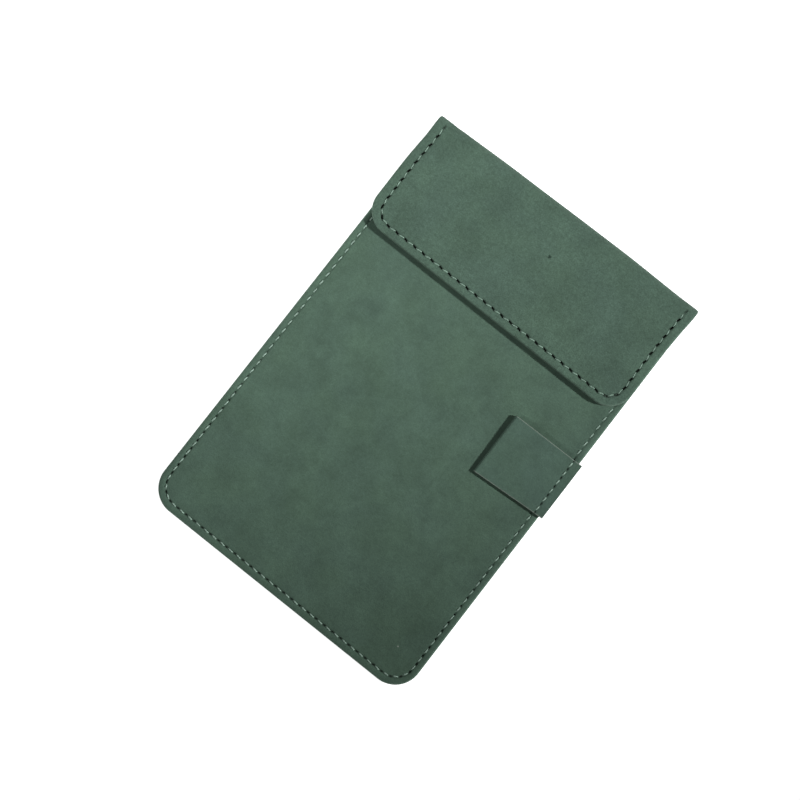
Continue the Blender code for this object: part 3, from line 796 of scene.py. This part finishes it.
flap_panel = Panel(
    FLAP_HALF, FLAP_Y, SHEET_END, FLAP_R, STEP, 3.25, 2.7, 0.0, bend_from=BEND_Y - 1.0
)
flap_seam = Seam(flap_panel.length, (3.6, 3.26), 7.3, 0.95, 0.32, 0.14, -0.26, 0.7)
flap_skin = shell(
    "flap_skin",
    flap_panel,
    edge_profile(flap_depth, 2.75, coarse_inset=FLAP_R),
    flap_surface,
    flap_seam,
    [NUBUCK_FLAP],
    rim_highlight=painted_rim_highlight,
)
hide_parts("flap_outer_skin", "top_fold_skin")
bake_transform(flap_skin)


# ------------------------------------------------------------------- threads
def stitch_mesh(name, runs, radius, material, body, replaced, crown=0.12, sink=0.55, rise=0.6, slant=0.1):
    """runs is a list of stitches, each (start, end, outward) in millimetres at the height of the
    skin's face; a stitch sinks into the skin at both ends and stands a little proud between."""
    sides, segs = 8, 12
    pts, faces = [], []
    for number, (start, end, out) in enumerate(runs):
        start, end, out = map(np.array, (start, end, out))
        along = end - start
        length = np.linalg.norm(along)
        along = along / length
        across = np.cross(out, along)
        vary = 1 + 0.22 * math.sin(number * 2.399)
        base = len(pts)
        for k in range(segs + 1):
            t = k / segs
            edge = min(t, 1 - t) * length
            up = math.sin(min(edge / rise, 1.0) * math.pi / 2)
            lift = -sink + (sink + crown * vary) * up
            centre = start + along * length * t + out * lift + across * slant * math.cos(math.pi * t)
            for m in range(sides):
                a = 2 * math.pi * m / sides
                r = radius * (1 + 0.14 * math.cos(2 * (a - t * length * 3.2)))
                pts.append(centre + r * (math.cos(a) * across + math.sin(a) * out))
        for k in range(segs):
            for m in range(sides):
                q = (m + 1) % sides
                p = base + k * sides
                faces.append((p + m, p + q, p + sides + q, p + sides + m))
        faces.append(tuple(base + m for m in range(sides)))
        faces.append(tuple(base + segs * sides + m for m in range(sides))[::-1])
    pts = np.array(pts)
    obj = build(name, pts, faces, {"rest_mm": pts}, [material])
    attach(obj, body)
    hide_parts(replaced)
    return obj


def shorten(a, b, start_gap, end_gap):
    """The stretch from a to b, less a gap at each end."""
    a, b = np.array(a), np.array(b)
    along = (b - a) / np.linalg.norm(b - a)
    return a + along * start_gap, b - along * end_gap


def seam_points(panel, seam, surface, height=0.0):
    """(x, y, z) of every needle hole on a panel's face."""
    path = panel.ring(panel.seam, panel.seam * 0)
    keep = np.flatnonzero(panel.stitched)
    s = panel.s[keep]
    xy = path[keep]
    x = np.interp(seam.holes, s, xy[:, 0])
    y = np.interp(seam.holes, s, xy[:, 1])
    return surface(x, y, np.full(len(x), height))


UP = (0.0, 0.0, 1.0)
holes = seam_points(front_panel, front_seam, front_surface, -0.14)
LOOP_Y0, LOOP_Y1 = ANCHOR_LO[1], ANCHOR_HI[1]
LOOP_SEAM_X = 48.2
LOOP_HOLE_X = LOOP_SEAM_X - 0.2


def loop_top(x, y):
    """Height of the pen loop's upper face."""
    t = np.clip((ANCHOR_HI[0] - x) / (ANCHOR_HI[0] - STRAP_LO[0]), 0, 1)
    u = np.clip((y - STRAP_LO[1]) / (STRAP_HI[1] - STRAP_LO[1]), 0, 1)
    return Z_FRONT + 1.72 + (0.05 + 0.55 * u) * smooth01(t * 1.1)


def beside_loop(p):
    return p[0] < 40 or not LOOP_Y0 - 0.25 < p[1] < LOOP_Y1 + 0.25


runs = [
    (*shorten(a, b, 0.5, 0.5), UP)
    for a, b in zip(holes, holes[1:])
    if beside_loop(a) and beside_loop(b)
]
loop_ys = np.linspace(LOOP_Y1 - 0.1, LOOP_Y0 + 0.1, 7)
loop_holes = [
    np.array([LOOP_HOLE_X, y, float(loop_top(np.array(LOOP_SEAM_X), np.array(y))) - 0.1])
    for y in loop_ys
]
runs += [(*shorten(a, b, 0.6, 0.6), UP) for a, b in zip(loop_holes, loop_holes[1:])]
stitch_mesh(
    "front_stitches", runs, 0.23, THREAD, "sleeve", "front_seam_thread", 0.14, 0.5, 1.0, 0.1
)

under = [np.array([p[0], p[1], 0.42]) for p in holes]
runs = [(a, b, (0, 0, -1.0)) for a, b in zip(under, under[1:])]
stitch_mesh("back_stitches", runs, 0.2, THREAD, "sleeve", "back_seam_thread")

flap_holes = seam_points(flap_panel, flap_seam, flap_surface, -0.12)
runs = [(*shorten(a, b, 0.62, 0.7), UP) for a, b in zip(flap_holes, flap_holes[1:])]
stitch_mesh(
    "flap_stitches", runs, 0.2, THREAD_FLAP, "flap", "flap_top_thread", 0.02, 0.5, 0.75, -0.12
)
runs = [
    (np.array([a[0], a[1], Z_FLAP + 0.12]), np.array([b[0], b[1], Z_FLAP + 0.12]), (0, 0, -1.0))
    for a, b in zip(flap_holes, flap_holes[1:])
]
stitch_mesh("flap_stitches_under", runs, 0.12, THREAD, "flap", "flap_under_thread")


# -------------------------------------------------------------- the pen loop
def strap_piece():
    """One strap, from its upper end in the seam, over the fold at the left and back under."""
    t = 0.8
    slit = 0.24
    right = ANCHOR_HI[0]
    left = STRAP_LO[0]
    bend_r = (t + slit) / 2
    xs = np.r_[
        np.linspace(right, LOOP_HOLE_X + 0.8, 6)[:-1],
        np.linspace(LOOP_HOLE_X + 0.8, LOOP_HOLE_X - 0.8, 13)[:-1],
        np.linspace(LOOP_HOLE_X - 0.8, left + 1.0, 44)[:-1],
    ]
    centre = [(x, "top") for x in xs]
    arc_n = 10
    path = [(x, 1.0, 0.0) for x, _ in centre]
    for k in range(arc_n + 1):
        a = math.pi * k / arc_n
        path.append((left + 1.0 - (bend_r + t / 2 - 0.42) * math.sin(a) * 1.0, math.cos(a), 0.0))
    path += [(x, -1.0, 0.0) for x, _ in centre[::-1]]
    rows = np.array([(p[0], p[1]) for p in path])
    rows_n = len(rows)
    band = 0.012
    v = np.r_[0, band * 0.35, band, np.linspace(0.03, 0.97, 101), 1 - band, 1 - band * 0.35, 1]
    cols = len(v) - 1
    # upper edge straight, lower edge tapered towards the seam
    def y_of(x, vv):
        tt = np.clip((right - x) / (right - left), 0, 1)
        low = LOOP_Y0 + (STRAP_LO[1] - LOOP_Y0) * tt
        return low + (LOOP_Y1 - low) * vv

    mid = np.empty((rows_n, cols + 1, 3))
    for i, (x, side) in enumerate(rows):
        y = y_of(x, v)
        top = loop_top(np.full_like(y, x), y)
        upper = top - t / 2
        lower = np.full_like(y, Z_FRONT + 0.1 + t / 2) + (upper - Z_FRONT - 0.1 - t * 1.5 - 0.1) * 0.35
        lower = np.minimum(lower, upper - t - 0.06)
        zc, zr = (upper + lower) / 2, (upper - lower) / 2
        mid[i, :, 0] = x
        mid[i, :, 1] = y
        mid[i, :, 2] = zc + zr * side
    # normals along the path, in the XZ plane
    tangent = np.gradient(mid, axis=0)
    normal = np.stack([-tangent[..., 2], np.zeros_like(tangent[..., 0]), tangent[..., 0]], -1)
    normal /= np.linalg.norm(normal, axis=-1, keepdims=True)
    # the path runs towards -X on top, so that this normal points down there
    normal *= -1
    rounding = np.clip(np.minimum(v, 1 - v) / band, 0, 1)
    soft = (0.5 * t) * (0.6 + 0.4 * np.sqrt(rounding))
    pricked = np.zeros(mid.shape[:2])
    for hole_at in loop_holes:
        gap = ((mid[..., 0] - hole_at[0]) / 0.26) ** 2 + ((mid[..., 1] - hole_at[1]) / 0.55) ** 2
        pricked = np.maximum(pricked, np.exp(-(gap**2)))
    pricked[len(centre) :] = 0
    crease = np.exp(-(((mid[..., 0] - LOOP_HOLE_X) / 0.4) ** 2))
    crease[len(centre) :] = 0
    outer = mid + normal * (soft[None, :] - 0.12 * crease - 0.25 * pricked)[..., None]
    inner = mid - normal * soft[None, :, None]
    total = rows_n * (cols + 1)
    pts = np.concatenate([outer.reshape(-1, 3), inner.reshape(-1, 3)])
    faces, mats = [], []
    w = cols + 1
    for i in range(rows_n - 1):
        for j in range(cols):
            p = i * w + j
            cut = 1 if j < 2 or j >= cols - 2 else 0
            faces.append((p, p + 1, p + w + 1, p + w))
            mats.append(cut)
            faces.append((total + p, total + p + w, total + p + w + 1, total + p + 1))
            mats.append(cut)
        for j in (0, cols):
            p = i * w + j
            faces.append((p, p + w, total + p + w, total + p))
            mats.append(1)
    for i in (0, rows_n - 1):
        for j in range(cols):
            p = i * w + j
            faces.append((p, p + 1, total + p + 1, total + p))
            mats.append(1)
    s = np.repeat(np.cumsum(np.r_[0, np.linalg.norm(np.diff(mid[:, 0], axis=0), axis=1)]), w)
    yy = mid[..., 1].reshape(-1)
    flat = np.concatenate([np.c_[s, yy, np.zeros(total)], np.c_[s, yy, np.full(total, 0.8)]])
    vv = np.tile(v, rows_n)
    edge = 1 - smooth01(np.minimum(vv, 1 - vv) * 21 / 0.5)
    # the hole mask carries painted shade in the needle holes and, faintly, in the crease
    pricked = np.concatenate([np.maximum(pricked, 0.2 * crease).reshape(-1), np.zeros(total)])
    obj = build(
        "pen_loop",
        pts,
        faces,
        {
            "hole": pricked,
            "margin": np.tile(edge, 2) * 0.8,
            "rim_highlight": np.tile(edge, 2) * 0.0,
            "rest_mm": flat,
        },
        [NUBUCK_LOOP, LOOP_EDGE],
        mats,
    )
    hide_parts("pen_loop_anchor", "pen_loop_strap")
    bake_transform(obj)
    return obj


strap_piece()


# ------------------------------------------------------- linings at the fold
def lining_sheet(name, half, low, radius, surface, thick, end, material):
    """A thin closed sheet that follows a surface; rounded lower corners."""
    panel = Panel(half, low, end, radius, 1.2, 2.5, 2.5, 0.0, coarse=2, bend_from=70.6)
    rings = [
        (radius, 0.0, "lining"),
        (2.0, 0.0, "lining"),
        (0.3, 0.0, "lining"),
        (0.0, -0.08, "lining"),
        (0.0, -(thick - 0.06), "lining"),
        (0.2, -thick, "lining"),
    ]
    return shell(name, panel, rings, surface, None, [material])


INNER_R = BEND_R - SKIN - 0.1
LINE_T = 0.3
STEP_Y0, STEP_Y1 = 71.87, 73.5


def back_lining_surface(x, y, h):
    """Visible face up at the lining's own height, stepping down to run round inside the fold."""
    a = y - BEND_Y
    phi = np.clip(a / BEND_R, 0, math.pi / 2)
    rest = np.maximum(a - QUARTER, 0)
    r = INNER_R - LINE_T - h  # h is 0 on the visible face and negative behind it
    t = smooth01((y - STEP_Y0) / (STEP_Y1 - STEP_Y0))
    bent_y = np.where(a <= 0, y, BEND_Y + (r - slump(x)) * np.sin(phi))
    bent_z = BEND_R - r * np.cos(phi) + rest
    py = y + (bent_y - y) * t
    pz = (BLINE_HI[2] + h) * (1 - t) + bent_z * t
    return np.c_[x, py, pz]


back_line = lining_sheet(
    "back_lining_cloth", BLINE_HI[0], BLINE_LO[1], 6.6, back_lining_surface, LINE_T, SHEET_END, LINING
)
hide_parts("back_lining", "top_fold_lining")
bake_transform(back_line)


def flap_lining_surface(x, y, h):
    a = y - BEND_Y
    phi = np.clip(a / BEND_R, 0, math.pi / 2)
    rest = np.maximum(a - QUARTER, 0)
    r = INNER_R - LINE_T - h
    t = smooth01((y - STEP_Y0) / (STEP_Y1 - STEP_Y0))
    sx, sy = flap_skew(x, y)
    bent_y = np.where(a <= 0, sy, BEND_Y + (r - slump(x)) * np.sin(phi))
    bent_z = Z_TOP - BEND_R + r * np.cos(phi) - rest
    py = sy + (bent_y - sy) * t
    pz = (Z_FLAP - h) * (1 - t) + bent_z * t
    return np.c_[np.where(a <= 0, sx, flap_skew(x, np.full_like(x, BEND_Y))[0]), py, pz]


flap_line = lining_sheet(
    "flap_lining_cloth", FLINE_HI[0], FLINE_LO[1], 7.3, flap_lining_surface, LINE_T, SHEET_END, LINING
)
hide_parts("flap_lining")
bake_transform(flap_line)

# ------------------------------------------------ looks of the carried pieces
CARRIED = {
    "back_board": BOARD,
    "flap_board": BOARD,
    "front_card": CARD,
    "front_lining": LINING_CAD,
    "seam_welt": WELT,
    "front_keeper_left": NICKEL,
    "front_keeper_right": NICKEL,
    "flap_magnet_left": NICKEL,
    "flap_magnet_right": NICKEL,
    "notebook_cover": KRAFT,
    "staple_upper": WIRE,
    "staple_lower": WIRE,
}
for i in range(1, 9):
    CARRIED[f"page_sheet_{i}"] = PAPER
for node, material in CARRIED.items():
    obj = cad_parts[node]
    for slot in obj.material_slots:
        slot.material = material
    if not obj.material_slots:
        obj.data.materials.append(material)


# --------------------------------------------------------- floor, lights, camera
def aim(obj, place, target):
    obj.location = place
    direction = Vector(target) - Vector(place)
    obj.rotation_euler = direction.to_track_quat("-Z", "Y").to_euler()


bpy.ops.mesh.primitive_plane_add(size=80.0, location=(0, 0, -0.0002))
floor = bpy.context.object
floor.name = "studio_floor"
white = Nodes("studio_white")
white.shader.inputs["Base Color"].default_value = (0.9, 0.9, 0.9, 1.0)
white.shader.inputs["Roughness"].default_value = 1.0
white.shader.inputs["Emission Color"].default_value = (1.0, 1.0, 1.0, 1.0)
white.shader.inputs["Emission Strength"].default_value = 0.92
floor.data.materials.append(white.material)

world = bpy.data.worlds.new("studio")
bpy.context.scene.world = world
world.use_nodes = True
world.node_tree.nodes["Background"].inputs["Color"].default_value = (1.0, 1.0, 1.0, 1.0)
world.node_tree.nodes["Background"].inputs["Strength"].default_value = 0.085

CAM_X = Vector((0.78995, 0.61316, -0.00368))
CAM_Y = Vector((-0.61073, 0.78731, 0.08456))
CAM_Z = Vector((0.05475, -0.06455, 0.99641))
TARGET = Vector((0, 0, 0.006))
KEY_POWER = 34.7
FILL_POWER = 17.2


def soft_spot(name, right, up, height, distance, aim_right, aim_up, half_angle, radius, power):
    """A round soft light on a stand, with a cone that fades out towards its rim."""
    data = bpy.data.lights.new(name, "SPOT")
    data.spot_size = 2 * half_angle
    data.spot_blend = 1.0
    data.shadow_soft_size = radius
    data.energy = power
    obj = bpy.data.objects.new(name, data)
    bpy.context.scene.collection.objects.link(obj)
    place = TARGET + (CAM_X * right + CAM_Y * up + CAM_Z * height) * distance
    aim(obj, place, TARGET + CAM_X * aim_right + CAM_Y * aim_up)
    return obj


soft_spot("key_light", 0.74, -0.09, 0.656, 0.8, -0.262, 0.207, 0.44, 0.032, KEY_POWER)
soft_spot("fill_light", -0.835, 0.10, 0.54, 0.8, -0.01, 0.207, 0.38, 0.05, FILL_POWER)

camera_data = bpy.data.cameras.new("camera")
camera = bpy.data.objects.new("camera", camera_data)
bpy.context.scene.collection.objects.link(camera)
camera_data.sensor_width = 36.0
camera_data.lens = 80.22
camera_data.clip_start = 0.01
camera_data.clip_end = 200.0
matrix = Matrix((CAM_X, CAM_Y, CAM_Z)).transposed().to_4x4()
matrix.translation = Vector((0.02433, -0.03945, 0.55615))
camera.matrix_world = matrix
bpy.context.scene.camera = camera

bpy.context.scene.view_settings.view_transform = "Standard"
bpy.context.scene.view_settings.look = "None"
